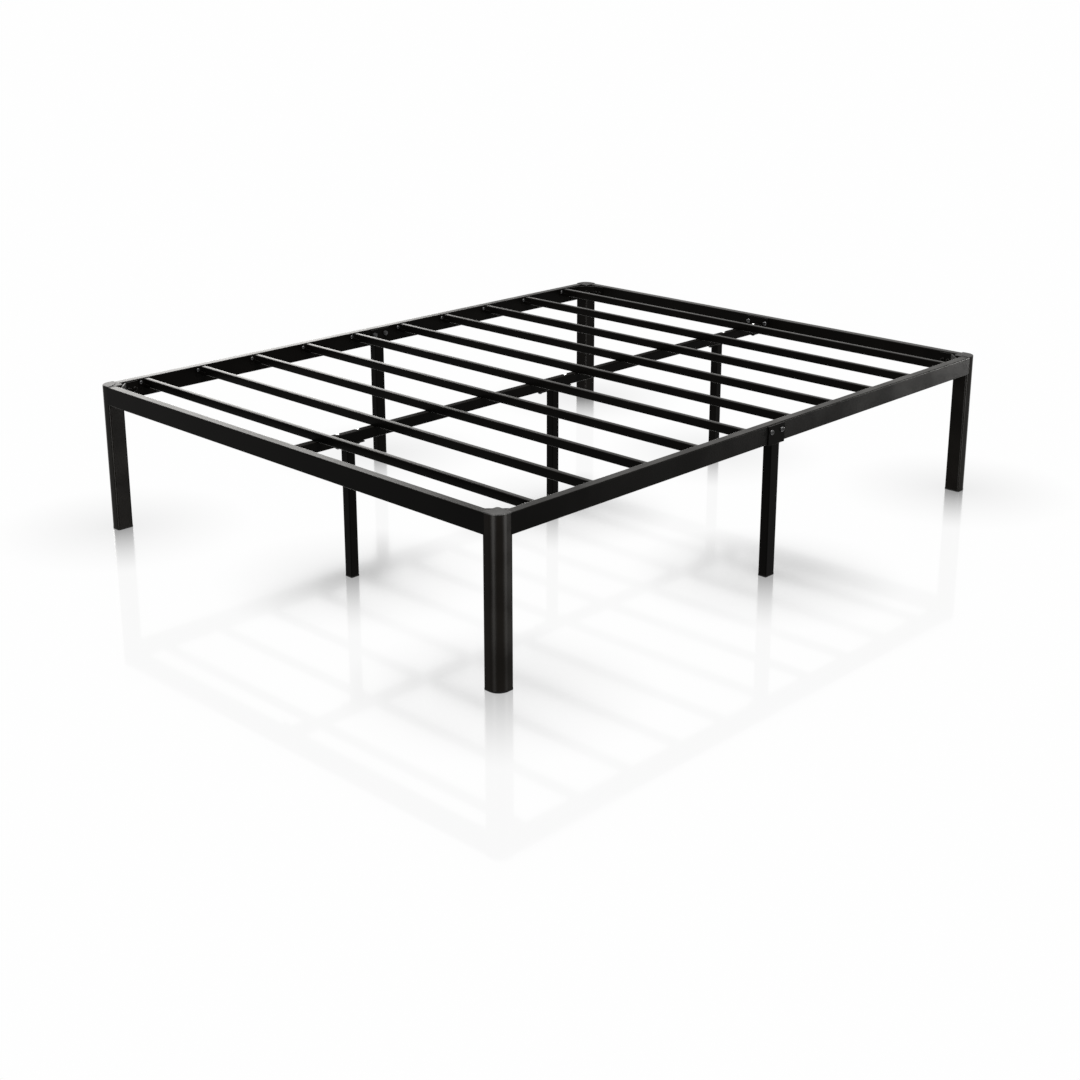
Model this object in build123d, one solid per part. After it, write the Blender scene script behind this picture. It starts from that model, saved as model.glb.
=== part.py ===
from build123d import *
import os

# Metal platform bed frame: nine legs, a tube perimeter, a centre rail and ten cross slats.
# +X is the right side seen from the foot, +Y runs from foot to head, +Z is up.
# The origin is on the floor under the middle of the frame. Lengths are millimetres.

# Overall sizes
frame_width = 1524.0        # over the outer faces of the side rails
frame_length = 1930.0       # over the outer faces of the foot and head rails
frame_height = 406.0        # floor to the top of the corner caps

# Perimeter rails (rectangular tube on edge)
rail_thickness = 25.0
rail_height = 50.0
rail_wall = 1.5
rail_radius = 3.0
seam_gap = 0.4              # between the two halves of a long rail

# Corner legs: square tube with one large radius facing outwards
leg_size = 47.0
leg_outer_radius = 28.0
leg_corner_radius = 6.0
leg_wall = 1.5
rail_overlap = 7.0          # how far a rail end sits inside the leg's notch
cap_thickness = 2.0
cap_plug_depth = 14.0
cap_base = 0.8              # thin plate over the whole tube, below the raised lens
cap_edge = 0.5
cap_lens_inset = 1.0
cap_lens_reach = 44.5       # from the outer corner to the lens's inner edge

# Side legs, under the middle of each side rail
side_leg_depth = 35.0       # along Y; across X it is as thick as the rail
side_leg_wall = 1.5
side_leg_radius = 3.0
saddle_length = 65.0
saddle_plate = 2.5
saddle_cheek_height = 47.0  # up the rail's face, from the rail's bottom
saddle_bolt_spacing = 42.0
saddle_bolt_above_middle = 6.0
rail_sleeve_length = 130.0

# Plastic glides and plugs
glide_thickness = 4.0
glide_margin = 0.5           # how far a glide stands out round its tube
glide_edge = 1.2
plug_height = 18.0
plug_clearance = 0.3

# Corner braces: bent plate across each inner corner
brace_plate = 3.0
brace_height = 44.0
brace_flange = 38.0         # length of a flange along its rail
brace_bolt_offsets = (9.0, 27.0)    # from the start of a flange
brace_gap = 0.2             # between the brace and the leg's inner corner
brace_to_seat = 4.73        # along the rail, between a brace and the first slat's seat

# Slats
slat_count = 10
slat_height = 22.0
slat_width = 15.0
slat_wall = 1.2
slat_radius = 2.0
slat_drop = 2.0             # slat top below the rail top
slat_plug_flange = 2.0
slat_plug_depth = 16.0
slat_end_gap = 0.5          # between the end plug and the seat
seat_plate = 2.0
seat_shelf = 24.0
seat_lip = 8.0
seat_side_gap = 0.4
seat_bolt_offset = 18.0     # towards the foot end, from the slat's middle
seat_bolt_margin = 6.0      # plate beyond the bolt's middle
seat_bolt_below_top = 10.0

# Centre rail and its legs
centre_rail_width = 20.0
centre_rail_height = 28.0
centre_rail_wall = 1.5
centre_rail_radius = 2.5
centre_seam_y = 28.0
centre_sleeve_length = 220.0
centre_leg_size = 25.0
centre_leg_wall = 1.5
centre_leg_radius = 2.5
centre_leg_inset = 230.0    # outer centre legs, from the ends of the frame
centre_plate = 3.0
centre_end_bolt_spacing = 64.0
centre_middle_bolt_spacing = 100.0
centre_plate_margin = 12.0  # plate beyond each bolt's middle
hanger_width = 84.0
hanger_plate = 2.5
hanger_cradle = 36.0
hanger_side_gap = 0.3
hanger_bolt_spacing = 64.0
hanger_bolt_above_middle = 6.0

# Fasteners
frame_bolt_radius = 4.0
small_bolt_radius = 3.0
hole_clearance = 0.4        # added to a bolt's radius
thread_clearance = 0.15     # between a shank and its nut or insert
head_ratio = 1.65           # head radius over shank radius
head_height_ratio = 1.05    # head height over shank radius
socket_ratio = 0.62         # hexagon socket over shank radius
nut_ratio = 1.85            # nut corner radius over shank radius
nut_height_ratio = 1.5
insert_wall = 2.0
insert_length = 10.0
bolt_tail = 1.5             # thread standing out beyond a nut

# Places worked out from the sizes above
half_width = frame_width / 2
half_length = frame_length / 2
rail_top = frame_height - cap_thickness
rail_bottom = rail_top - rail_height
rail_middle = (rail_top + rail_bottom) / 2
rail_start = leg_size - rail_overlap
inner_x = half_width - rail_thickness
inner_y = half_length - rail_thickness
slat_top = rail_top - slat_drop
slat_bottom = slat_top - slat_height
centre_rail_bottom = slat_bottom - centre_rail_height
centre_leg_places = {
    "foot_end": -half_length + centre_leg_inset,
    "middle": 0.0,
    "head_end": half_length - centre_leg_inset,
}
centre_bolt_spacings = {
    "foot_end": centre_end_bolt_spacing,
    "middle": centre_middle_bolt_spacing,
    "head_end": centre_end_bolt_spacing,
}
brace_line = 2 * leg_size - 2 * leg_corner_radius * (1 - 0.5 ** 0.5) + brace_gap * 2 ** 0.5
brace_start = brace_line - rail_thickness
brace_reach = brace_start + brace_flange
brace_bolt_places = [brace_start + offset for offset in brace_bolt_offsets]
seat_reach = seat_bolt_offset + seat_bolt_margin
first_slat = -(half_length - brace_reach - brace_to_seat - seat_reach)
slat_pitch = -2 * first_slat / (slat_count - 1)
slat_places = [first_slat + i * slat_pitch for i in range(slat_count)]
hanger_bolt_z = rail_middle + hanger_bolt_above_middle
saddle_bolt_z = rail_middle + saddle_bolt_above_middle
hanger_pin_y = inner_y - hanger_plate - hanger_cradle / 2

LOW = (Align.MIN, Align.MIN, Align.MIN)
STANDING = (Align.CENTER, Align.CENTER, Align.MIN)
DIAGONAL = Axis((0, 0, 0), (1, 1, 0))
ALONG_X = Rot(0, 90, 0)
ALONG_Y = Rot(-90, 0, 0)
CORNERS = {
    "foot_left": (False, False),
    "foot_right": (True, False),
    "head_left": (False, True),
    "head_right": (True, True),
}


def block(x0, x1, y0, y1, z0, z1):
    """A box between two corners."""
    return Pos(x0, y0, z0) * Box(x1 - x0, y1 - y0, z1 - z0, align=LOW)


def rounded_bar(width, depth, radius, length):
    """A rounded rectangular bar standing on Z = 0."""
    if radius <= 0:
        return Box(width, depth, length, align=STANDING)
    return extrude(RectangleRounded(width, depth, radius), length)


def rounded_tube(width, depth, radius, wall, length):
    """A rounded rectangular tube standing on Z = 0."""
    outside = rounded_bar(width, depth, radius, length)
    inside = rounded_bar(width - 2 * wall, depth - 2 * wall, radius - wall, length)
    return outside - inside


def rod(radius, start, axis, length):
    """A round bar from a start point along X, Y or Z, or a negative length back along it."""
    turn = {"X": ALONG_X, "Y": ALONG_Y, "Z": Rot(0, 0, 0)}[axis]
    bar = turn * Cylinder(radius, abs(length), align=STANDING)
    if length < 0:
        back = {"X": Pos(length, 0, 0), "Y": Pos(0, length, 0), "Z": Pos(0, 0, length)}[axis]
        bar = back * bar
    return Pos(*start) * bar


def bolt(radius, length):
    """A button-head socket bolt: head above Z = 0, shank below it."""
    head_radius = radius * head_ratio
    head_height = radius * head_height_ratio
    head = Cylinder(head_radius, head_height, align=STANDING)
    head = fillet(head.edges().sort_by(Axis.Z)[-1], head_height * 0.6)
    socket_radius = radius * socket_ratio
    socket = extrude(RegularPolygon(socket_radius, 6), head_height)
    head -= Pos(0, 0, head_height * 0.4) * socket
    shank = Pos(0, 0, -length) * Cylinder(radius, length, align=STANDING)
    return head + shank


def nut(radius):
    """A hexagon nut standing on Z = 0."""
    height = radius * nut_height_ratio
    body = extrude(RegularPolygon(radius * nut_ratio, 6), height)
    return body - Cylinder(radius + thread_clearance, height, align=STANDING)


def insert(radius):
    """A round threaded insert standing on Z = 0."""
    bore = radius + thread_clearance
    body = Cylinder(bore + insert_wall, insert_length, align=STANDING)
    return body - Cylinder(bore, insert_length, align=STANDING)


def at_corner(shape, right, head):
    """Moves a shape built for the foot-left corner to another corner."""
    if right:
        shape = mirror(shape, about=Plane.YZ)
    if head:
        shape = mirror(shape, about=Plane.XZ)
    return shape


def corner_place(u, v, z):
    """A point in the foot-left corner: u and v run inwards from the outer corner."""
    return Pos(-half_width + u, -half_length + v, z)


# Corner legs, caps and glides

def leg_outline(inset):
    """The leg's section, shrunk by inset, with its outer corner towards the origin."""
    side = leg_size - 2 * inset
    square = Pos(leg_size / 2, leg_size / 2) * Rectangle(side, side)
    square = fillet(square.vertices().sort_by(DIAGONAL)[1:], leg_corner_radius - inset)
    return fillet(square.vertices().sort_by(DIAGONAL)[0], leg_outer_radius - inset)


def leg_bar(inset, z0, z1):
    """A solid bar of the leg's section between two heights, in the foot-left corner."""
    return corner_place(0, 0, z0) * extrude(leg_outline(inset), z1 - z0)


def brace_bolt_turn():
    """Turns a bolt so that its head looks from the leg's inner corner to the bed's middle."""
    return Rot(0, 0, 45) * Rot(0, 90, 0)


def corner_leg():
    """A corner leg with notches for the two rail ends."""
    leg = leg_bar(0, glide_thickness, rail_top) - leg_bar(leg_wall, glide_thickness, rail_top)
    depth = rail_thickness + plug_clearance
    side = leg_size + 1
    notch_height = rail_height + plug_clearance
    notch = corner_place(rail_start, -1, rail_top - notch_height)
    leg -= notch * Box(side - rail_start, depth + 1, notch_height, align=LOW)
    notch = corner_place(-1, rail_start, rail_top - notch_height)
    leg -= notch * Box(depth + 1, side - rail_start, notch_height, align=LOW)
    hole = Cylinder(frame_bolt_radius + hole_clearance, leg_size / 2)
    middle = brace_line / 2
    return leg - corner_place(middle, middle, rail_middle) * brace_bolt_turn() * hole


def leg_cap():
    """The plastic cap over a corner leg, with a plug inside the tube."""
    plate = leg_bar(0, rail_top, rail_top + cap_base)
    disc = Cylinder(cap_lens_reach, frame_height - rail_top, align=STANDING)
    lens = leg_bar(cap_lens_inset, rail_top, frame_height) & (corner_place(0, 0, rail_top) * disc)
    plate += fillet(lens.edges().group_by(Axis.Z)[-1], cap_edge)
    room = leg_bar(leg_wall + plug_clearance, rail_top - cap_plug_depth, rail_top)
    clear = rail_start - plug_clearance
    keep = corner_place(0, 0, rail_top - cap_plug_depth) * Box(clear, clear, cap_plug_depth, align=LOW)
    return plate + (room & keep)


def leg_glide():
    """The plastic glide under a corner leg, with a plug inside the tube."""
    pad = leg_bar(-glide_margin, 0, glide_thickness)
    pad = fillet(pad.edges().group_by(Axis.Z)[0], glide_edge)
    plug = leg_bar(leg_wall + plug_clearance, glide_thickness, glide_thickness + plug_height)
    return pad + plug


# Corner braces

def corner_brace():
    """A bent plate that joins two rails and the leg in the foot-left corner."""
    near = rail_thickness
    far = rail_thickness + brace_plate
    far_line = brace_line + brace_plate * 2 ** 0.5
    points = [
        (brace_reach, near),
        (brace_start, near),
        (near, brace_start),
        (near, brace_reach),
        (far, brace_reach),
        (far, far_line - far),
        (far_line - far, far),
        (brace_reach, far),
    ]
    outline = make_face(Polyline(*points, close=True))
    plate = corner_place(0, 0, rail_middle - brace_height / 2) * extrude(outline, brace_height)
    hole = frame_bolt_radius + hole_clearance
    for place in brace_bolt_places:
        plate -= corner_place(place, near, rail_middle) * ALONG_Y * Cylinder(hole, 3 * brace_plate)
        plate -= corner_place(near, place, rail_middle) * ALONG_X * Cylinder(hole, 3 * brace_plate)
    middle = brace_line / 2
    diagonal = brace_bolt_turn() * Cylinder(hole, 4 * brace_plate)
    return plate - corner_place(middle, middle, rail_middle) * diagonal


def corner_fasteners():
    """The five bolts of a corner, and their inserts and nut, for the foot-left corner."""
    bolts = []
    inserts = []
    shank = brace_plate + rail_wall + insert_length - 1
    face = rail_thickness + brace_plate
    insert_face = rail_thickness - rail_wall
    for place in brace_bolt_places:
        bolts.append(corner_place(place, face, rail_middle) * ALONG_Y * bolt(frame_bolt_radius, shank))
        bolts.append(corner_place(face, place, rail_middle) * ALONG_X * bolt(frame_bolt_radius, shank))
        for u, v, turn in ((place, insert_face, Rot(90, 0, 0)), (insert_face, place, Rot(0, -90, 0))):
            inserts.append(corner_place(u, v, rail_middle) * turn * insert(frame_bolt_radius))
    face = brace_line / 2 + brace_plate / 2 ** 0.5
    inside_radius = leg_corner_radius - leg_wall
    nut_depth = frame_bolt_radius * nut_ratio + plug_clearance - inside_radius * (2 ** 0.5 - 1)
    reach = brace_plate + brace_gap + leg_wall + nut_depth
    long_shank = reach + frame_bolt_radius * nut_height_ratio + bolt_tail
    diagonal = corner_place(face, face, rail_middle) * brace_bolt_turn()
    bolts.append(diagonal * bolt(frame_bolt_radius, long_shank))
    inserts.append(diagonal * Pos(0, 0, -reach) * Rot(180, 0, 0) * nut(frame_bolt_radius))
    return bolts, inserts


# Perimeter rails

def end_rail():
    """The foot rail: one tube between the two foot legs, with its bolt holes."""
    length = frame_width - 2 * rail_start
    tube = rounded_tube(rail_height, rail_thickness, rail_radius, rail_wall, length)
    tube = ALONG_X * tube
    rail = Pos(-length / 2, -half_length + rail_thickness / 2, rail_middle) * tube
    hole = frame_bolt_radius + hole_clearance
    for place in brace_bolt_places:
        for side in (-1, 1):
            start = (side * (half_width - place), -inner_y, rail_middle)
            rail -= rod(hole, start, "Y", -2 * rail_wall)
    for side in (-1, 1):
        start = (side * hanger_bolt_spacing / 2, -inner_y, hanger_bolt_z)
        rail -= rod(hole, start, "Y", -2 * rail_wall)
    return rail


def half_side_rail():
    """The foot half of the left side rail, with its bolt holes."""
    length = half_length - rail_start - seam_gap / 2
    tube = rounded_tube(rail_thickness, rail_height, rail_radius, rail_wall, length)
    middle_x = -half_width + rail_thickness / 2
    rail = Pos(middle_x, -seam_gap / 2, rail_middle) * Rot(90, 0, 0) * tube
    hole = frame_bolt_radius + hole_clearance
    for place in brace_bolt_places:
        start = (-inner_x, -half_length + place, rail_middle)
        rail -= rod(hole, start, "X", -2 * rail_wall)
    through = (-half_width, -saddle_bolt_spacing / 2, saddle_bolt_z)
    return rail - rod(hole, through, "X", rail_thickness)


def side_rail(right, head):
    """One half of a side rail. Each has its own slat seat holes."""
    rail = at_corner(half_side_rail(), right, head)
    hole = small_bolt_radius + hole_clearance
    side = 1 if right else -1
    for y in slat_places:
        if (y > 0) == head:
            start = (side * inner_x, y - seat_bolt_offset, rail_top - seat_bolt_below_top)
            rail -= rod(hole, start, "X", side * 2 * rail_wall)
    return rail


def rail_sleeve():
    """The inner tube that lines up the two halves of the left side rail."""
    inset = 2 * (rail_wall + plug_clearance)
    radius = rail_radius - rail_wall
    tube = rounded_tube(
        rail_thickness - inset, rail_height - inset, radius, rail_wall - 0.3, rail_sleeve_length
    )
    sleeve = Rot(90, 0, 0) * tube
    sleeve = Pos(-half_width + rail_thickness / 2, rail_sleeve_length / 2, rail_middle) * sleeve
    for side in (-1, 1):
        start = (-half_width, side * saddle_bolt_spacing / 2, saddle_bolt_z)
        sleeve -= rod(frame_bolt_radius + hole_clearance, start, "X", rail_thickness)
    return sleeve


# Side legs and their saddles

def side_leg():
    """The left side leg: a tube with the saddle welded on top."""
    top = rail_bottom - saddle_plate
    tube = rounded_tube(
        rail_thickness, side_leg_depth, side_leg_radius, side_leg_wall, top - glide_thickness
    )
    return Pos(-half_width + rail_thickness / 2, 0, glide_thickness) * tube + saddle()


def side_leg_glide():
    """The plastic glide of the left side leg."""
    return tube_glide(
        rail_thickness, side_leg_depth, side_leg_radius, side_leg_wall, -half_width + rail_thickness / 2, 0
    )


def tube_glide(width, depth, radius, wall, x, y):
    """A plastic glide with a plug, for a rounded rectangular tube."""
    pad = rounded_bar(
        width + 2 * glide_margin, depth + 2 * glide_margin, radius + glide_margin, glide_thickness
    )
    pad = fillet(pad.edges().group_by(Axis.Z)[0], glide_edge)
    inset = 2 * (wall + plug_clearance)
    plug = rounded_bar(width - inset, depth - inset, radius - wall, plug_height)
    return Pos(x, y, 0) * (pad + Pos(0, 0, glide_thickness) * plug)


def saddle():
    """The channel on top of the left side leg that holds the rail between two cheeks."""
    outer = -half_width - saddle_plate
    inner = -inner_x + saddle_plate
    half = saddle_length / 2
    base = rail_bottom - saddle_plate
    top = rail_bottom + saddle_cheek_height
    channel = block(outer, inner, -half, half, base, top)
    channel -= block(-half_width, -inner_x, -half, half, rail_bottom, top)
    for side in (-1, 1):
        start = (outer, side * saddle_bolt_spacing / 2, saddle_bolt_z)
        channel -= rod(frame_bolt_radius + hole_clearance, start, "X", inner - outer)
    return channel


def saddle_fasteners():
    """The two through bolts of the left saddle, heads outwards, and their nuts."""
    bolts = []
    nuts = []
    outer = -half_width - saddle_plate
    inner = -inner_x + saddle_plate
    nut_height = frame_bolt_radius * nut_height_ratio
    length = inner - outer + nut_height + bolt_tail
    for side in (-1, 1):
        y = side * saddle_bolt_spacing / 2
        bolts.append(Pos(outer, y, saddle_bolt_z) * Rot(0, -90, 0) * bolt(frame_bolt_radius, length))
        nuts.append(Pos(inner, y, saddle_bolt_z) * ALONG_X * nut(frame_bolt_radius))
    return bolts, nuts


# Slats and their seats

def slat(y):
    """One cross slat, a tube from seat to seat."""
    half = inner_x - seat_plate - slat_end_gap - slat_plug_flange
    tube = rounded_tube(slat_height, slat_width, slat_radius, slat_wall, 2 * half)
    return Pos(-half, y, (slat_top + slat_bottom) / 2) * ALONG_X * tube


def slat_plug(y):
    """The plastic plug in the left end of a slat."""
    middle = (slat_top + slat_bottom) / 2
    start = -inner_x + seat_plate + slat_end_gap
    flange = rounded_bar(slat_height, slat_width, slat_radius, slat_plug_flange)
    inset = 2 * (slat_wall + plug_clearance)
    plug = rounded_bar(slat_height - inset, slat_width - inset, slat_radius - slat_wall, slat_plug_depth)
    return Pos(start, y, middle) * ALONG_X * (flange + Pos(0, 0, slat_plug_flange) * plug)


def slat_seat(y):
    """The bent plate on the left rail that a slat end drops into."""
    back = -inner_x
    front = back + seat_plate
    side = slat_width / 2 + seat_side_gap
    outer = side + seat_plate
    shelf_bottom = slat_bottom - seat_plate
    foot_end = y - seat_bolt_offset - seat_bolt_margin
    seat = block(back, front, foot_end, y + outer, shelf_bottom, slat_top)
    seat += block(front, front + seat_shelf, y - outer, y + outer, shelf_bottom, slat_bottom)
    seat += block(front, front + seat_shelf, y - outer, y - side, slat_bottom, slat_bottom + seat_lip)
    seat += block(front, front + seat_shelf, y + side, y + outer, slat_bottom, slat_bottom + seat_lip)
    bolt_start = (back, y - seat_bolt_offset, rail_top - seat_bolt_below_top)
    return seat - rod(small_bolt_radius + hole_clearance, bolt_start, "X", seat_plate)


def seat_fasteners(y):
    """The bolt that holds a left seat, and its insert in the rail."""
    z = rail_top - seat_bolt_below_top
    place_y = y - seat_bolt_offset
    shank = seat_plate + rail_wall + insert_length - 1
    screw = Pos(-inner_x + seat_plate, place_y, z) * ALONG_X * bolt(small_bolt_radius, shank)
    ring = Pos(-inner_x - rail_wall, place_y, z) * Rot(0, -90, 0) * insert(small_bolt_radius)
    return screw, ring


# Centre rail, hangers and centre legs

def centre_bolt_places():
    """Places along Y of the upright bolts through the centre rail."""
    places = [-hanger_pin_y, hanger_pin_y]
    for name, y in centre_leg_places.items():
        places.append(y - centre_bolt_spacings[name] / 2)
        places.append(y + centre_bolt_spacings[name] / 2)
    return places


def centre_holes(y0, y1):
    """The upright bolt holes of the centre rail between two places along Y."""
    holes = []
    for y in centre_bolt_places():
        if y0 < y < y1:
            start = (0, y, centre_rail_bottom)
            holes.append(rod(small_bolt_radius + hole_clearance, start, "Z", centre_rail_height))
    return holes


def centre_tube(y0, y1, inset, wall):
    """A centre rail tube between two places along Y."""
    middle = centre_rail_bottom + centre_rail_height / 2
    radius = centre_rail_radius - inset
    tube = rounded_tube(
        centre_rail_width - 2 * inset, centre_rail_height - 2 * inset, radius, wall, y1 - y0
    )
    tube = Pos(0, y0, middle) * ALONG_Y * tube
    for hole in centre_holes(y0, y1):
        tube -= hole
    return tube


def hanger():
    """The bracket on the foot rail that holds the end of the centre rail."""
    back = -inner_y
    front = back + hanger_plate
    bottom = centre_rail_bottom - hanger_plate
    inside = centre_rail_width / 2 + hanger_side_gap
    outside = inside + hanger_plate
    cradle_top = centre_rail_bottom + centre_rail_height - centre_rail_radius
    bracket = block(-hanger_width / 2, hanger_width / 2, back, front, bottom, slat_top)
    bracket += block(-outside, outside, front, front + hanger_cradle, bottom, cradle_top)
    bracket -= block(-inside, inside, front, front + hanger_cradle, centre_rail_bottom, cradle_top)
    for side in (-1, 1):
        start = (side * hanger_bolt_spacing / 2, back, hanger_bolt_z)
        bracket -= rod(frame_bolt_radius + hole_clearance, start, "Y", hanger_plate)
    pin = (0, -hanger_pin_y, bottom)
    return bracket - rod(small_bolt_radius + hole_clearance, pin, "Z", hanger_plate)


def hanger_fasteners():
    """The two bolts of the foot hanger and their inserts in the rail."""
    bolts = []
    inserts = []
    shank = hanger_plate + rail_wall + insert_length - 1
    for side in (-1, 1):
        x = side * hanger_bolt_spacing / 2
        face = Pos(x, -inner_y + hanger_plate, hanger_bolt_z)
        bolts.append(face * ALONG_Y * bolt(frame_bolt_radius, shank))
        inside = Pos(x, -inner_y - rail_wall, hanger_bolt_z)
        inserts.append(inside * Rot(90, 0, 0) * insert(frame_bolt_radius))
    return bolts, inserts


def centre_leg(y, spacing):
    """A centre leg: a square tube with a flat plate welded on top."""
    top = centre_rail_bottom - centre_plate
    tube = rounded_tube(
        centre_leg_size, centre_leg_size, centre_leg_radius, centre_leg_wall, top - glide_thickness
    )
    return Pos(0, y, glide_thickness) * tube + centre_leg_plate(y, spacing)


def centre_leg_plate(y, spacing):
    """The flat plate on top of a centre leg."""
    half = spacing / 2 + centre_plate_margin
    half_plate = centre_leg_size / 2
    bottom = centre_rail_bottom - centre_plate
    plate = block(-half_plate, half_plate, y - half, y + half, bottom, centre_rail_bottom)
    for side in (-1, 1):
        start = (0, y + side * spacing / 2, bottom)
        plate -= rod(small_bolt_radius + hole_clearance, start, "Z", centre_plate)
    return plate


def centre_fasteners():
    """The upright bolts through the centre rail, and the nuts below them."""
    bolts = []
    nuts = []
    top = centre_rail_bottom + centre_rail_height
    nut_height = small_bolt_radius * nut_height_ratio
    for y in centre_bolt_places():
        under = hanger_plate if abs(y) == hanger_pin_y else centre_plate
        length = centre_rail_height + under + nut_height + bolt_tail
        bolts.append(Pos(0, y, top) * bolt(small_bolt_radius, length))
        nuts.append(Pos(0, y, centre_rail_bottom - under - nut_height) * nut(small_bolt_radius))
    return bolts, nuts


# The assembly

def write(name, *solids):
    """Writes one node. Several solids make one group."""
    shape = solids[0] if len(solids) == 1 else Compound(list(solids))
    export_step(shape, f"parts/{name}.step")


def both_sides(shapes):
    """The shapes, and their mirror images on the right side."""
    return list(shapes) + [mirror(shape, about=Plane.YZ) for shape in shapes]


def write_corners():
    """Legs, caps, glides and braces, with the fasteners of the corners and hangers."""
    leg, cap, glide, brace = corner_leg(), leg_cap(), leg_glide(), corner_brace()
    corner_bolts, corner_inserts = corner_fasteners()
    all_bolts = []
    all_inserts = []
    for name, (right, head) in CORNERS.items():
        write(f"corner_leg_{name}", at_corner(leg, right, head))
        write(f"corner_cap_{name}", at_corner(cap, right, head))
        write(f"corner_glide_{name}", at_corner(glide, right, head))
        write(f"corner_brace_{name}", at_corner(brace, right, head))
        all_bolts += [at_corner(shape, right, head) for shape in corner_bolts]
        all_inserts += [at_corner(shape, right, head) for shape in corner_inserts]
    hanger_bolts, hanger_inserts = hanger_fasteners()
    for head in (False, True):
        all_inserts += [at_corner(shape, False, head) for shape in hanger_inserts]
    write("corner_bolts", *all_bolts)
    write("hanger_bolts", *hanger_bolts, *[at_corner(shape, False, True) for shape in hanger_bolts])
    write("rail_inserts", *all_inserts)


def write_rails():
    """The perimeter rails and the sleeves inside the side rails."""
    write("foot_rail", end_rail())
    write("head_rail", at_corner(end_rail(), False, True))
    for side, right in (("left", False), ("right", True)):
        for end, head in (("foot", False), ("head", True)):
            write(f"side_rail_{side}_{end}_half", side_rail(right, head))
        write(f"side_rail_sleeve_{side}", at_corner(rail_sleeve(), right, False))


def write_side_legs():
    """The two side legs with their feet and through bolts."""
    bolts, nuts = saddle_fasteners()
    for side, right in (("left", False), ("right", True)):
        write(f"side_leg_{side}", at_corner(side_leg(), right, False))
        write(f"side_leg_glide_{side}", at_corner(side_leg_glide(), right, False))
    write("saddle_bolts", *both_sides(bolts))
    write("saddle_nuts", *both_sides(nuts))


def write_slats():
    """The ten slats with their plugs, seats, bolts and inserts."""
    for number, y in enumerate(slat_places, 1):
        write(f"slat_{number:02d}", slat(y))
    fasteners = [seat_fasteners(y) for y in slat_places]
    write("slat_end_plugs", *both_sides([slat_plug(y) for y in slat_places]))
    write("slat_seats", *both_sides([slat_seat(y) for y in slat_places]))
    write("slat_seat_bolts", *both_sides([screw for screw, ring in fasteners]))
    write("slat_seat_inserts", *both_sides([ring for screw, ring in fasteners]))


def write_centre():
    """The centre rail halves, their sleeve and hangers, and the three centre legs."""
    end = inner_y - hanger_plate - plug_clearance
    gap = seam_gap / 2
    write("centre_rail_foot_half", centre_tube(-end, centre_seam_y - gap, 0, centre_rail_wall))
    write("centre_rail_head_half", centre_tube(centre_seam_y + gap, end, 0, centre_rail_wall))
    half = centre_sleeve_length / 2
    inset = centre_rail_wall + plug_clearance
    sleeve = centre_tube(centre_seam_y - half, centre_seam_y + half, inset, centre_rail_wall - 0.3)
    write("centre_rail_sleeve", sleeve)
    write("centre_hanger_foot", hanger())
    write("centre_hanger_head", at_corner(hanger(), False, True))
    for name, y in centre_leg_places.items():
        write(f"centre_leg_{name}", centre_leg(y, centre_bolt_spacings[name]))
        glide = tube_glide(centre_leg_size, centre_leg_size, centre_leg_radius, centre_leg_wall, 0, y)
        write(f"centre_leg_glide_{name}", glide)
    bolts, nuts = centre_fasteners()
    write("centre_rail_bolts", *bolts)
    write("centre_rail_nuts", *nuts)


os.makedirs("parts", exist_ok=True)
write_corners()
write_rails()
write_side_legs()
write_slats()
write_centre()
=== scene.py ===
import math

import bpy
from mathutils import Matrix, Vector


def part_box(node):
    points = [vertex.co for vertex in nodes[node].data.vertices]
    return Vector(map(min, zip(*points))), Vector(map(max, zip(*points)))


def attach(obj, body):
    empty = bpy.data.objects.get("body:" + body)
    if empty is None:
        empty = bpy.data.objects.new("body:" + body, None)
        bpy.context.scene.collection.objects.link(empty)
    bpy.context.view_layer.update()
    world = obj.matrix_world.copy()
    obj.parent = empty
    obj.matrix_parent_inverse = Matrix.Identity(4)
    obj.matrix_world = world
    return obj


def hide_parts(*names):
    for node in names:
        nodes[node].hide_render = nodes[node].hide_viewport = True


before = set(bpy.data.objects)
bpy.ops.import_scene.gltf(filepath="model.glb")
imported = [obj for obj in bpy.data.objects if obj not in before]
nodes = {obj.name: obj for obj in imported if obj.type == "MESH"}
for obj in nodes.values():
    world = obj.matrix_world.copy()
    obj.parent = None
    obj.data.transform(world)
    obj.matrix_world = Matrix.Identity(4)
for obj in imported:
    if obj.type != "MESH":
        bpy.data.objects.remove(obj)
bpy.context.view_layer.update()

# Slats
SLAT_COUNT = 10
SLAT_EDGE_RADIUS = 0.0024
SLAT_EDGE_STEPS = 6

# Weld beads on the side legs and centre legs. A bead's loop stands a little outside its tube.
BEAD_RADIUS = 0.0017
BEAD_PITCH = 0.0019
BEAD_SEED = 7
BEAD_CORNER_STEPS = 4
BEAD_BALL_STEPS = 2
BEAD_SMALLEST = 0.86
BEAD_LARGEST = 1.1
LOOP_OUTSIDE = 0.0004
CENTRE_LEG_SIZE = 0.025
CENTRE_LEG_RADIUS = 0.0025
CENTRE_PLATE = 0.003
SIDE_LEG_DEPTH = 0.035
SIDE_LEG_WIDTH = 0.025
SIDE_LEG_RADIUS = 0.003
SADDLE_REACH = 0.0495       # from the top of the saddle down to its underside
SHARP_EDGE_ANGLE = 38.0

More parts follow.
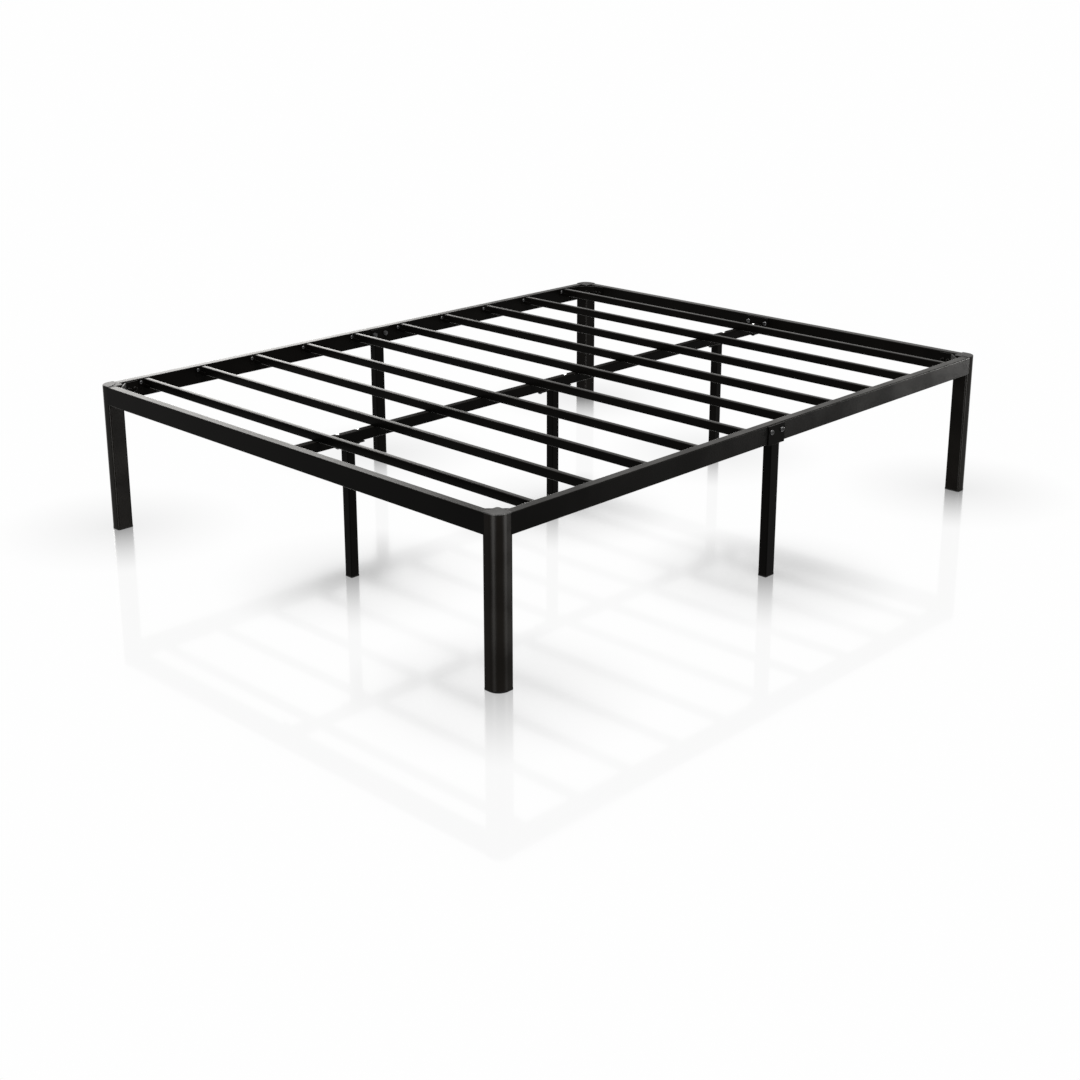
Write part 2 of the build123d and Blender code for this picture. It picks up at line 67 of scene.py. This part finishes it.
# Coats: base colour, and a gloss that grows towards a glancing view, given as
# its share when faced, then the share and power of a slow rise and of a late one
COAT = (0.0007, 0.0006, 0.0005)
COAT_SHEEN = (0.002, 0.06, 3.0, 0.64, 8.0)
PLASTIC = (0.0012, 0.0012, 0.0012)
PLASTIC_SHEEN = (0.010, 0.08, 3.0, 0.22, 8.0)
OXIDE = (0.006, 0.006, 0.006)
ZINC = (0.46, 0.46, 0.45)
DUST_COLOUR = (0.42, 0.41, 0.39)
GLOSS_TINT = (1.0, 0.985, 0.96)
PATCH_LIFT = 1.4

# Camera
CAMERA_PLACE = (3.0595, -3.2123, 1.5485)
CAMERA_AZIMUTH = 44.06
CAMERA_ELEVATION = 16.64
CAMERA_LENS = 55.007
CAMERA_SHIFT_Y = -0.1
CAMERA_SIGHT = 400.0
SENSOR_WIDTH = 36.0

# Floor and surroundings
SURROUNDINGS = 1.0
FLOOR_HALF_SIZE = 90.0
FLOOR_GLOW = 1.004
FLOOR_SHEEN = 0.055
FLOOR_SHEEN_ROUGHNESS = (0.05, 0.08)
CLOUD_SCALE = 3.0
CLOUD_DETAIL = 3.0
CLOUD_RANGE = (0.2, 0.8)

# The floor is polished near the feet. The polish grows from a steep to a flat view, and fades with distance.
POLISH_ROUGHNESS = (0.12, 0.15)
POLISH_VIEW = (0.566, 0.736)
POLISH_SHARE = (0.45, 0.82)
POLISH_START = 0.02
POLISH_REACH = 0.36
POLISH_FADE = 1.3

# Lamps. Azimuth 0 looks from the foot end, 90 from the right side.
LEG_STRIPS = {"strip_left": 9.0, "strip_right": 112.0}
STRIP_ELEVATION = 6.0
STRIP_DISTANCE = 4.5
STRIP_WIDTH = 0.5
STRIP_HEIGHT = 1.2
STRIP_POWER = 1300.0
RAIL_STRIP_AZIMUTH = 166.0
RAIL_STRIP_ELEVATION = 4.0
RAIL_STRIP_DISTANCE = 3.0
RAIL_STRIP_WIDTH = 1.2
RAIL_STRIP_POWER = 900.0
BACK_LIGHT_AZIMUTH = 262.0
BACK_LIGHT_ELEVATION = 16.0
BACK_LIGHT_DISTANCE = 5.0
BACK_LIGHT_TARGET = (0.0, 0.0, 0.4)
BACK_LIGHT_WIDTH = 5.4
BACK_LIGHT_HEIGHT = 2.6
BACK_LIGHT_POWER = 340.0
OVERHEAD_ELEVATION = 80.0
OVERHEAD_DISTANCE = 4.5
OVERHEAD_TARGET = (0.0, 0.0, 0.2)
OVERHEAD_SIZE = 2.4
OVERHEAD_POWER = 1000.0


def socket_value(tree_node, name, value):
    """Sets an input of a node to a constant."""
    tree_node.inputs[name].default_value = value


class Graph:
    """Short ways to add and join nodes in one node tree."""

    def __init__(self, tree):
        self.tree = tree

    def add(self, kind, **settings):
        made = self.tree.nodes.new(kind)
        for key, value in settings.items():
            setattr(made, key, value)
        return made

    def join(self, source, target):
        self.tree.links.new(source, target)

    def maths(self, operation, a, b):
        made = self.add("ShaderNodeMath", operation=operation)
        for place, value in ((0, a), (1, b)):
            if isinstance(value, (int, float)):
                made.inputs[place].default_value = value
            else:
                self.join(value, made.inputs[place])
        return made.outputs[0]

    def map_range(self, value, low, high, to_low, to_high, smooth=True):
        made = self.add("ShaderNodeMapRange")
        made.interpolation_type = "SMOOTHSTEP" if smooth else "LINEAR"
        self.join(value, made.inputs["Value"])
        socket_value(made, "From Min", low)
        socket_value(made, "From Max", high)
        socket_value(made, "To Min", to_low)
        socket_value(made, "To Max", to_high)
        return made.outputs["Result"]

    def noise(self, vector, scale, detail, roughness=0.5):
        made = self.add("ShaderNodeTexNoise")
        self.join(vector, made.inputs["Vector"])
        socket_value(made, "Scale", scale)
        socket_value(made, "Detail", detail)
        socket_value(made, "Roughness", roughness)
        return made.outputs["Fac"]


# Surface effects shared by the materials

def surface_group():
    """Fine grain, soft waviness, faint dust and rubbed spots, as masks and a height."""
    tree = bpy.data.node_groups.new("surface_detail", "ShaderNodeTree")
    sockets = tree.interface
    for name, start in (
        ("Grain scale", 1400.0),
        ("Wave scale", 420.0),
        ("Grain share", 0.4),
        ("Patch scale", 9.0),
    ):
        made = sockets.new_socket(name, in_out="INPUT", socket_type="NodeSocketFloat")
        made.default_value = start
    for name in ("Height", "Grain", "Patches", "Dust", "Upward"):
        sockets.new_socket(name, in_out="OUTPUT", socket_type="NodeSocketFloat")
    g = Graph(tree)
    given = g.add("NodeGroupInput")
    result = g.add("NodeGroupOutput")
    place = g.add("ShaderNodeTexCoord").outputs["Object"]
    grain = g.add("ShaderNodeTexNoise")
    wave = g.add("ShaderNodeTexNoise")
    patch = g.add("ShaderNodeTexNoise")
    for made, scale, detail in (
        (grain, "Grain scale", 3.0),
        (wave, "Wave scale", 2.0),
        (patch, "Patch scale", 4.0),
    ):
        g.join(place, made.inputs["Vector"])
        g.join(given.outputs[scale], made.inputs["Scale"])
        socket_value(made, "Detail", detail)
    fine = g.maths("MULTIPLY", grain.outputs["Fac"], given.outputs["Grain share"])
    g.join(g.maths("ADD", fine, wave.outputs["Fac"]), result.inputs["Height"])
    g.join(grain.outputs["Fac"], result.inputs["Grain"])
    g.join(g.map_range(patch.outputs["Fac"], 0.35, 0.7, 0.0, 1.0), result.inputs["Patches"])
    facing = g.add("ShaderNodeSeparateXYZ")
    g.join(g.add("ShaderNodeNewGeometry").outputs["Normal"], facing.inputs[0])
    upward = g.map_range(facing.outputs["Z"], 0.55, 1.0, 0.0, 1.0)
    g.join(upward, result.inputs["Upward"])
    specks = g.map_range(grain.outputs["Fac"], 0.5, 0.72, 0.25, 1.0)
    g.join(g.maths("MULTIPLY", upward, specks), result.inputs["Dust"])
    return tree


DETAIL = surface_group()


def sheen_layer(g, detail, relief, rough, base, sheen, matt_top, upright_grain):
    """Lays a gloss over a base: more of it at a glancing view, less on a matt top."""
    facing_share, low_share, low_power, high_share, high_power = sheen
    edge_on = g.add("ShaderNodeLayerWeight")
    socket_value(edge_on, "Blend", 0.5)
    g.join(relief.outputs["Normal"], edge_on.inputs["Normal"])
    facing = edge_on.outputs["Facing"]
    low = g.maths("MULTIPLY", g.maths("POWER", facing, low_power), low_share)
    high = g.maths("MULTIPLY", g.maths("POWER", facing, high_power), high_share)
    kept = g.maths("SUBTRACT", 1.0, g.maths("MULTIPLY", detail.outputs["Upward"], matt_top))
    rise = g.maths("MULTIPLY", g.maths("ADD", low, high), kept)
    if upright_grain:
        gloss = g.add("ShaderNodeBsdfAnisotropic", distribution="BECKMANN")
        socket_value(gloss, "Anisotropy", upright_grain)
        around = g.add("ShaderNodeTangent", direction_type="RADIAL", axis="Z")
        g.join(around.outputs["Tangent"], gloss.inputs["Tangent"])
    else:
        gloss = g.add("ShaderNodeBsdfGlossy")
    socket_value(gloss, "Color", (*GLOSS_TINT, 1.0))
    g.join(rough, gloss.inputs["Roughness"])
    g.join(relief.outputs["Normal"], gloss.inputs["Normal"])
    blend = g.add("ShaderNodeMixShader")
    g.join(g.maths("ADD", rise, facing_share), blend.inputs["Fac"])
    g.join(base, blend.inputs[1])
    g.join(gloss.outputs["BSDF"], blend.inputs[2])
    return blend.outputs["Shader"]


def coated(
    name, colour, roughness, roughness_spread, specular, bump, grain_scale, wave_scale, dust,
    metallic=0.0, sheen=None, matt_top=0.0, upright_grain=0.0,
):
    """A node material built on the shared surface detail, with a sheen layer if one is given."""
    material = bpy.data.materials.new(name)
    material.use_nodes = True
    tree = material.node_tree
    tree.nodes.clear()
    g = Graph(tree)
    detail = g.add("ShaderNodeGroup", node_tree=DETAIL)
    socket_value(detail, "Grain scale", grain_scale)
    socket_value(detail, "Wave scale", wave_scale)
    shader = g.add("ShaderNodeBsdfPrincipled")
    socket_value(shader, "Metallic", metallic)
    socket_value(shader, "Specular IOR Level", specular)
    mixed = g.add("ShaderNodeMix", data_type="RGBA")
    mixed.inputs["A"].default_value = (*colour, 1.0)
    mixed.inputs["B"].default_value = (*[PATCH_LIFT * c for c in colour], 1.0)
    g.join(detail.outputs["Patches"], mixed.inputs["Factor"])
    dusty = g.add("ShaderNodeMix", data_type="RGBA")
    dusty.inputs["B"].default_value = (*DUST_COLOUR, 1.0)
    g.join(g.maths("MULTIPLY", detail.outputs["Dust"], dust), dusty.inputs["Factor"])
    g.join(mixed.outputs["Result"], dusty.inputs["A"])
    g.join(dusty.outputs["Result"], shader.inputs["Base Color"])
    uneven = g.maths("ADD", detail.outputs["Grain"], detail.outputs["Patches"])
    spread = g.maths("MULTIPLY", uneven, roughness_spread)
    rough = g.maths("ADD", spread, roughness - 0.5 * roughness_spread)
    g.join(rough, shader.inputs["Roughness"])
    relief = g.add("ShaderNodeBump")
    socket_value(relief, "Strength", 1.0)
    socket_value(relief, "Distance", bump)
    g.join(detail.outputs["Height"], relief.inputs["Height"])
    g.join(relief.outputs["Normal"], shader.inputs["Normal"])
    result = shader.outputs["BSDF"]
    if sheen:
        result = sheen_layer(g, detail, relief, rough, result, sheen, matt_top, upright_grain)
    g.join(result, g.add("ShaderNodeOutputMaterial").inputs["Surface"])
    return material


powder_coat = coated(
    "black_powder_coat", COAT, roughness=0.33, roughness_spread=0.08, specular=0.0,
    bump=0.00002, grain_scale=1500.0, wave_scale=480.0, dust=0.002, sheen=COAT_SHEEN,
)
leg_coat = coated(
    "black_powder_coat_legs", COAT, roughness=0.38, roughness_spread=0.05, specular=0.0,
    bump=0.000015, grain_scale=1500.0, wave_scale=480.0, dust=0.002, sheen=COAT_SHEEN,
    upright_grain=0.15,
)
rail_coat = coated(
    "black_powder_coat_rubbed", COAT, roughness=0.36, roughness_spread=0.08, specular=0.0,
    bump=0.00002, grain_scale=1500.0, wave_scale=480.0, dust=0.002, sheen=COAT_SHEEN,
    matt_top=0.88,
)
moulded_plastic = coated(
    "black_moulded_plastic", PLASTIC, roughness=0.38, roughness_spread=0.10, specular=0.0,
    bump=0.00003, grain_scale=2400.0, wave_scale=900.0, dust=0.004, sheen=PLASTIC_SHEEN,
)
black_fastener = coated(
    "black_oxide_steel", OXIDE, roughness=0.30, roughness_spread=0.12, specular=0.5,
    bump=0.00002, grain_scale=2600.0, wave_scale=700.0, dust=0.0, metallic=0.1,
)
zinc_plate = coated(
    "zinc_plated_steel", ZINC, roughness=0.34, roughness_spread=0.16, specular=0.5,
    bump=0.00002, grain_scale=2200.0, wave_scale=300.0, dust=0.0, metallic=1.0,
)


def material_for(node_name):
    """The material of a node, from its name."""
    if "glide" in node_name or "cap" in node_name or "plugs" in node_name:
        return moulded_plastic
    if "insert" in node_name or node_name == "centre_rail_bolts":
        return zinc_plate
    if node_name == "corner_bolts":
        return powder_coat
    if "bolts" in node_name or "nuts" in node_name:
        return black_fastener
    if node_name.startswith("centre_rail_") or node_name == "slat_seats":
        return rail_coat
    if node_name.startswith("corner_leg_"):
        return leg_coat
    return powder_coat


for name, shown in nodes.items():
    shown.data.materials.clear()
    shown.data.materials.append(material_for(name))


# Pieces made with geometry nodes

def geometry_tree(name, floats, counts=()):
    """A geometry node tree with named number inputs and a material input."""
    tree = bpy.data.node_groups.new(name, "GeometryNodeTree")
    tree.interface.new_socket("Geometry", in_out="INPUT", socket_type="NodeSocketGeometry")
    for label in floats:
        tree.interface.new_socket(label, in_out="INPUT", socket_type="NodeSocketFloat")
    for label in counts:
        tree.interface.new_socket(label, in_out="INPUT", socket_type="NodeSocketInt")
    tree.interface.new_socket("Material", in_out="INPUT", socket_type="NodeSocketMaterial")
    tree.interface.new_socket("Geometry", in_out="OUTPUT", socket_type="NodeSocketGeometry")
    return tree


def finish_tree(g, given, geometry):
    """Ends a tree with Realize Instances and Set Material."""
    real = g.add("GeometryNodeRealizeInstances")
    painted = g.add("GeometryNodeSetMaterial")
    g.join(geometry, real.inputs["Geometry"])
    g.join(real.outputs["Geometry"], painted.inputs["Geometry"])
    g.join(given.outputs["Material"], painted.inputs["Material"])
    g.join(painted.outputs["Geometry"], g.add("NodeGroupOutput").inputs["Geometry"])


def plain_piece(name, tree, values, material, points=()):
    """Runs a tree on a few points and keeps the result as a plain mesh."""
    start = bpy.data.meshes.new(name + "_start")
    start.from_pydata([tuple(p) for p in points], [], [])
    carrier = bpy.data.objects.new(name + "_carrier", start)
    bpy.context.scene.collection.objects.link(carrier)
    run = carrier.modifiers.new("make", "NODES")
    run.node_group = tree
    for item in tree.interface.items_tree:
        if item.item_type == "SOCKET" and item.in_out == "INPUT":
            if item.name in values:
                run[item.identifier] = values[item.name]
            elif item.name == "Material":
                run[item.identifier] = material
    bpy.context.view_layer.update()
    made = carrier.evaluated_get(bpy.context.evaluated_depsgraph_get())
    mesh = bpy.data.meshes.new_from_object(made)
    mesh.name = name
    carrier.modifiers.clear()
    bpy.data.objects.remove(carrier)
    mesh.polygons.foreach_set("use_smooth", [True] * len(mesh.polygons))
    mesh.set_sharp_from_angle(angle=math.radians(SHARP_EDGE_ANGLE))
    if not mesh.materials:
        mesh.materials.append(material)
    piece = bpy.data.objects.new(name, mesh)
    bpy.context.scene.collection.objects.link(piece)
    return piece


def slat_tree():
    """A rounded tube along X, repeated along Y on the given points."""
    tree = geometry_tree("slat_row", ("Length", "Height", "Width", "Edge radius"), ("Edge steps",))
    g = Graph(tree)
    given = g.add("NodeGroupInput")
    section = g.add("GeometryNodeCurvePrimitiveQuadrilateral")
    g.join(given.outputs["Width"], section.inputs["Width"])
    g.join(given.outputs["Height"], section.inputs["Height"])
    eased = g.add("GeometryNodeFilletCurve", mode="POLY")
    g.join(section.outputs["Curve"], eased.inputs["Curve"])
    g.join(given.outputs["Edge radius"], eased.inputs["Radius"])
    g.join(given.outputs["Edge steps"], eased.inputs["Count"])
    half = g.maths("MULTIPLY", given.outputs["Length"], 0.5)
    ends = []
    for sign in (-1.0, 1.0):
        end = g.add("ShaderNodeCombineXYZ")
        g.join(g.maths("MULTIPLY", half, sign), end.inputs["X"])
        ends.append(end.outputs["Vector"])
    path = g.add("GeometryNodeCurvePrimitiveLine")
    g.join(ends[0], path.inputs["Start"])
    g.join(ends[1], path.inputs["End"])
    upright = g.add("GeometryNodeSetCurveNormal", mode="Z_UP")
    g.join(path.outputs["Curve"], upright.inputs["Curve"])
    tube = g.add("GeometryNodeCurveToMesh")
    g.join(upright.outputs["Curve"], tube.inputs["Curve"])
    g.join(eased.outputs["Curve"], tube.inputs["Profile Curve"])
    socket_value(tube, "Fill Caps", True)
    row = g.add("GeometryNodeInstanceOnPoints")
    g.join(given.outputs["Geometry"], row.inputs["Points"])
    g.join(tube.outputs["Mesh"], row.inputs["Instance"])
    finish_tree(g, given, row.outputs["Instances"])
    return tree


def bead_tree():
    """A rippled weld bead round a rounded rectangle, repeated on the given points."""
    sizes = ("Size X", "Size Y", "Corner radius", "Bead radius", "Bead pitch")
    tree = geometry_tree("weld_bead", sizes, ("Seed",))
    g = Graph(tree)
    given = g.add("NodeGroupInput")
    loop = g.add("GeometryNodeCurvePrimitiveQuadrilateral")
    g.join(given.outputs["Size X"], loop.inputs["Width"])
    g.join(given.outputs["Size Y"], loop.inputs["Height"])
    eased = g.add("GeometryNodeFilletCurve", mode="POLY")
    g.join(loop.outputs["Curve"], eased.inputs["Curve"])
    g.join(given.outputs["Corner radius"], eased.inputs["Radius"])
    socket_value(eased, "Count", BEAD_CORNER_STEPS)
    steps = g.add("GeometryNodeCurveToPoints", mode="LENGTH")
    g.join(eased.outputs["Curve"], steps.inputs["Curve"])
    g.join(given.outputs["Bead pitch"], steps.inputs["Length"])
    drop = g.add("GeometryNodeMeshIcoSphere")
    g.join(given.outputs["Bead radius"], drop.inputs["Radius"])
    socket_value(drop, "Subdivisions", BEAD_BALL_STEPS)
    uneven = g.add("FunctionNodeRandomValue", data_type="FLOAT")
    uneven.inputs[2].default_value = BEAD_SMALLEST
    uneven.inputs[3].default_value = BEAD_LARGEST
    g.join(given.outputs["Seed"], uneven.inputs["Seed"])
    beads = g.add("GeometryNodeInstanceOnPoints")
    g.join(steps.outputs["Points"], beads.inputs["Points"])
    g.join(drop.outputs["Mesh"], beads.inputs["Instance"])
    g.join(uneven.outputs[1], beads.inputs["Scale"])
    ring = g.add("GeometryNodeRealizeInstances")
    g.join(beads.outputs["Instances"], ring.inputs["Geometry"])
    row = g.add("GeometryNodeInstanceOnPoints")
    g.join(given.outputs["Geometry"], row.inputs["Points"])
    g.join(ring.outputs["Geometry"], row.inputs["Instance"])
    finish_tree(g, given, row.outputs["Instances"])
    return tree


def extent(node_name):
    """Lowest corner, highest corner, middle and size of a node."""
    low, high = [Vector(corner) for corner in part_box(node_name)]
    return low, high, (low + high) / 2, high - low


def keep(piece, slot_name, *replaced):
    """Ties a piece to the frame and hides the nodes it stands for."""
    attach(piece, "root")
    if replaced:
        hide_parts(*replaced)


slat_names = [f"slat_{number:02d}" for number in range(1, SLAT_COUNT + 1)]
slat_boxes = [extent(name) for name in slat_names]
slats = plain_piece(
    "cross_slats",
    slat_tree(),
    {
        "Length": slat_boxes[0][3].x,
        "Height": slat_boxes[0][3].z,
        "Width": slat_boxes[0][3].y,
        "Edge radius": SLAT_EDGE_RADIUS,
        "Edge steps": SLAT_EDGE_STEPS,
    },
    powder_coat,
    [box[2] for box in slat_boxes],
)
keep(slats, "black_powder_coat", *slat_names)

beads = bead_tree()


def weld(name, places, width, depth, corner):
    """A weld bead round a tube of one size, on several places."""
    values = {
        "Size X": width + LOOP_OUTSIDE,
        "Size Y": depth + LOOP_OUTSIDE,
        "Corner radius": corner,
        "Bead radius": BEAD_RADIUS,
        "Bead pitch": BEAD_PITCH,
        "Seed": BEAD_SEED,
    }
    keep(plain_piece(name, beads, values, powder_coat, places), "black_powder_coat")


def places_below_top(leg, names, drop):
    """The middle of each leg's tube, that far below the leg's top."""
    places = []
    for name in names:
        foot = extent(f"{leg}_glide_{name}")[2]
        top = extent(f"{leg}_{name}")[1].z
        places.append((foot.x, foot.y, top - drop))
    return places


centre_places = places_below_top("centre_leg", ("foot_end", "middle", "head_end"), CENTRE_PLATE)
weld("centre_leg_welds", centre_places, CENTRE_LEG_SIZE, CENTRE_LEG_SIZE, CENTRE_LEG_RADIUS)
side_places = places_below_top("side_leg", ("left", "right"), SADDLE_REACH)
weld("side_leg_welds", side_places, SIDE_LEG_WIDTH, SIDE_LEG_DEPTH, SIDE_LEG_RADIUS)


# Studio: floor, soft surroundings and lamps

def foot_places():
    """Where the legs stand."""
    names = [name for name in nodes if "_glide_" in name]
    return [(extent(name)[2].x, extent(name)[2].y, 0.0) for name in sorted(names)]


def floor_material():
    """A pale polished floor that mirrors what stands on it softly."""
    material = bpy.data.materials.new("studio_floor")
    material.use_nodes = True
    tree = material.node_tree
    tree.nodes.clear()
    g = Graph(tree)
    place = g.add("ShaderNodeTexCoord").outputs["Object"]
    cloudy = g.noise(place, CLOUD_SCALE, CLOUD_DETAIL)
    nearest = None
    for foot in foot_places():
        gap = g.add("ShaderNodeVectorMath", operation="DISTANCE")
        g.join(place, gap.inputs[0])
        gap.inputs[1].default_value = foot
        far = gap.outputs["Value"]
        nearest = far if nearest is None else g.maths("MINIMUM", nearest, far)
    matt = g.add("ShaderNodeEmission")
    socket_value(matt, "Color", (1.0, 1.0, 1.0, 1.0))
    socket_value(matt, "Strength", FLOOR_GLOW)
    sheen = g.add("ShaderNodeBsdfGlossy")
    socket_value(sheen, "Color", (1.0, 1.0, 1.0, 1.0))
    g.join(g.map_range(cloudy, *CLOUD_RANGE, *FLOOR_SHEEN_ROUGHNESS), sheen.inputs["Roughness"])
    polish = g.add("ShaderNodeBsdfGlossy")
    socket_value(polish, "Color", (1.0, 1.0, 1.0, 1.0))
    g.join(g.map_range(cloudy, *CLOUD_RANGE, *POLISH_ROUGHNESS), polish.inputs["Roughness"])
    edge_on = g.add("ShaderNodeLayerWeight")
    socket_value(edge_on, "Blend", 0.5)
    polished = g.map_range(edge_on.outputs["Facing"], *POLISH_VIEW, *POLISH_SHARE, smooth=False)
    fading = g.map_range(nearest, POLISH_START, POLISH_REACH, 1.0, 0.0, smooth=False)
    share = g.maths("MULTIPLY", polished, g.maths("POWER", fading, POLISH_FADE))
    faint = g.add("ShaderNodeMixShader")
    socket_value(faint, "Fac", FLOOR_SHEEN)
    g.join(matt.outputs["Emission"], faint.inputs[1])
    g.join(sheen.outputs["BSDF"], faint.inputs[2])
    blend = g.add("ShaderNodeMixShader")
    g.join(share, blend.inputs["Fac"])
    g.join(faint.outputs["Shader"], blend.inputs[1])
    g.join(polish.outputs["BSDF"], blend.inputs[2])
    g.join(blend.outputs["Shader"], g.add("ShaderNodeOutputMaterial").inputs["Surface"])
    return material


def studio_floor():
    """One large flat sheet at floor height."""
    s = FLOOR_HALF_SIZE
    mesh = bpy.data.meshes.new("studio_floor")
    mesh.from_pydata([(-s, -s, 0), (s, -s, 0), (s, s, 0), (-s, s, 0)], [], [(0, 1, 2, 3)])
    mesh.materials.append(floor_material())
    made = bpy.data.objects.new("studio_floor", mesh)
    bpy.context.scene.collection.objects.link(made)


def toward(azimuth, elevation):
    """A unit vector from the object to a viewer at that azimuth and elevation."""
    a, e = math.radians(azimuth), math.radians(elevation)
    return Vector((math.sin(a) * math.cos(e), -math.cos(a) * math.cos(e), math.sin(e)))


def surroundings():
    """Even white surroundings."""
    world = bpy.data.worlds.new("studio")
    bpy.context.scene.world = world
    world.use_nodes = True
    tree = world.node_tree
    tree.nodes.clear()
    g = Graph(tree)
    background = g.add("ShaderNodeBackground")
    socket_value(background, "Strength", SURROUNDINGS)
    g.join(background.outputs["Background"], g.add("ShaderNodeOutputWorld").inputs["Surface"])


def softbox(name, place, target, width, height, power, only=()):
    """A soft lamp at one place that looks at another. With only given, it lights just those objects."""
    data = bpy.data.lights.new(name, "AREA")
    data.shape = "RECTANGLE"
    data.size = width
    data.size_y = height
    data.energy = power
    lamp = bpy.data.objects.new(name, data)
    lamp.location = place
    lamp.rotation_mode = "QUATERNION"
    lamp.rotation_quaternion = (Vector(place) - Vector(target)).to_track_quat("Z", "Y")
    lamp.visible_camera = False
    bpy.context.scene.collection.objects.link(lamp)
    if only:
        lit = bpy.data.collections.new(name + "_lights")
        for lit_object in only:
            lit.objects.link(lit_object)
        lamp.light_linking.receiver_collection = lit


studio_floor()
surroundings()


def named(*starts):
    """The frame's nodes whose names start so, in order."""
    return [nodes[name] for name in sorted(nodes) if name.startswith(starts)]


corner_parts = named("corner_leg_", "corner_cap_")
front_leg = extent("corner_leg_foot_right")[2]
for name, azimuth in LEG_STRIPS.items():
    place = front_leg + toward(azimuth, STRIP_ELEVATION) * STRIP_DISTANCE
    softbox(name, place, front_leg, STRIP_WIDTH, STRIP_HEIGHT, STRIP_POWER, corner_parts)

right_rail = named("side_rail_right_")
far_end = extent("corner_leg_head_right")[2]
place = far_end + toward(RAIL_STRIP_AZIMUTH, RAIL_STRIP_ELEVATION) * RAIL_STRIP_DISTANCE
softbox("strip_rail", place, far_end, RAIL_STRIP_WIDTH, STRIP_HEIGHT, RAIL_STRIP_POWER, right_rail)

shown_meshes = [made for made in bpy.data.objects if made.type == "MESH"]
whole_frame = [made for made in shown_meshes if made.name != "studio_floor"]
place = toward(BACK_LIGHT_AZIMUTH, BACK_LIGHT_ELEVATION) * BACK_LIGHT_DISTANCE
softbox(
    "back_light", place, BACK_LIGHT_TARGET,
    BACK_LIGHT_WIDTH, BACK_LIGHT_HEIGHT, BACK_LIGHT_POWER, whole_frame,
)
place = toward(CAMERA_AZIMUTH, OVERHEAD_ELEVATION) * OVERHEAD_DISTANCE
softbox("overhead", place, OVERHEAD_TARGET, OVERHEAD_SIZE, OVERHEAD_SIZE, OVERHEAD_POWER)

camera_data = bpy.data.cameras.new("camera")
camera_data.lens = CAMERA_LENS
camera_data.sensor_width = SENSOR_WIDTH
camera_data.shift_y = CAMERA_SHIFT_Y
camera_data.clip_end = CAMERA_SIGHT
camera = bpy.data.objects.new("camera", camera_data)
camera.location = CAMERA_PLACE
camera.rotation_mode = "QUATERNION"
camera.rotation_quaternion = toward(CAMERA_AZIMUTH, CAMERA_ELEVATION).to_track_quat("Z", "Y")
bpy.context.scene.collection.objects.link(camera)
bpy.context.scene.camera = camera
bpy.context.scene.view_settings.view_transform = "Standard"
